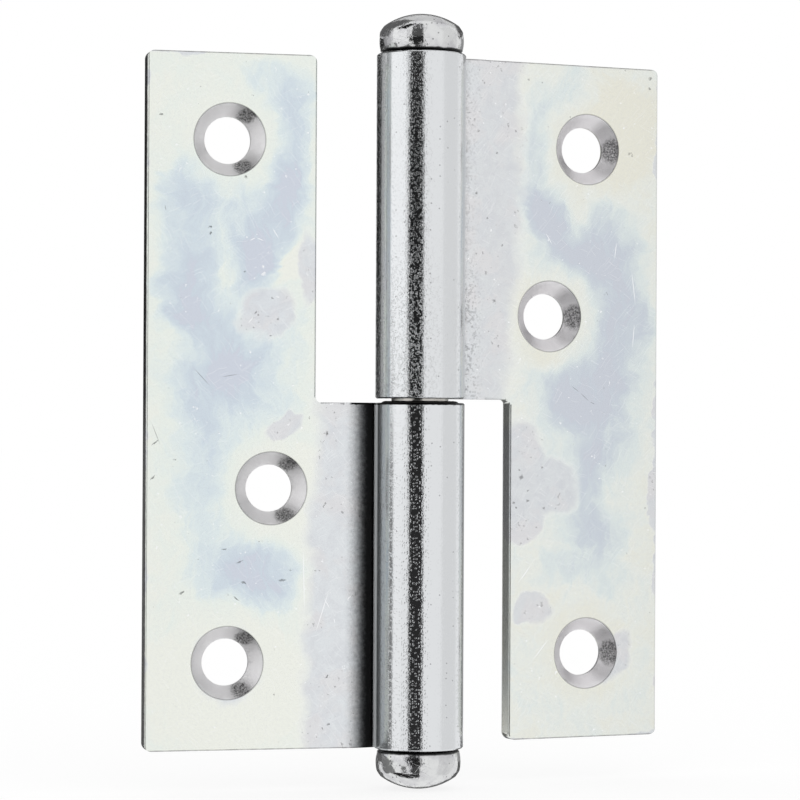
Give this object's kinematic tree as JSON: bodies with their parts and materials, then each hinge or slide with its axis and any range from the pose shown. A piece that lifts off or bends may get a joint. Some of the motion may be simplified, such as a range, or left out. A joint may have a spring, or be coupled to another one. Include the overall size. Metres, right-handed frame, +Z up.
{
  "type": "lift off hinge",
  "caption": "Steel butt hinge whose upper leaf lifts off its fixed pin: notched flat leaves, rolled knuckles, domed end plugs and countersunk screw holes.",
  "frame": {"origin": "on the pin axis, at the lower leaf's mid-height, where the knuckles meet", "axes": "+Z up along the pin, the way the upper leaf lifts off; the lower leaf runs towards -X with its countersunk face to -Y"},
  "size_m": [0.079, 0.0174, 0.1122],
  "materials": {
    "lower_leaf_zinc": "bright zinc plate, pale passivated, with soft blue, yellow and lilac tints",
    "upper_leaf_zinc": "bright zinc plate, pale passivated, with soft blue, yellow and lilac tints",
    "pin_steel": "drawn steel, plated",
    "ball_steel": "polished bearing steel",
    "finial_zinc": "bright zinc plate over a turned head"
  },
  "bodies": {
    "lower": {"lower_leaf": "lower_leaf_zinc", "pin": "pin_steel", "lower_finial": "finial_zinc"},
    "bearing": {"thrust_ball": "ball_steel"},
    "upper": {"upper_leaf": "upper_leaf_zinc", "upper_finial": "finial_zinc"}
  },
  "joints": [
    {"name": "swing", "type": "hinge", "parent": "lower", "child": "bearing", "pos_m": [0, 0, 0], "axis": [0, 0, 1], "range_deg": [-191, 142]},
    {"name": "lift_off", "type": "slide", "parent": "bearing", "child": "upper", "axis": [0, 0, 1], "range_m": [0, 0.046]}
  ]
}
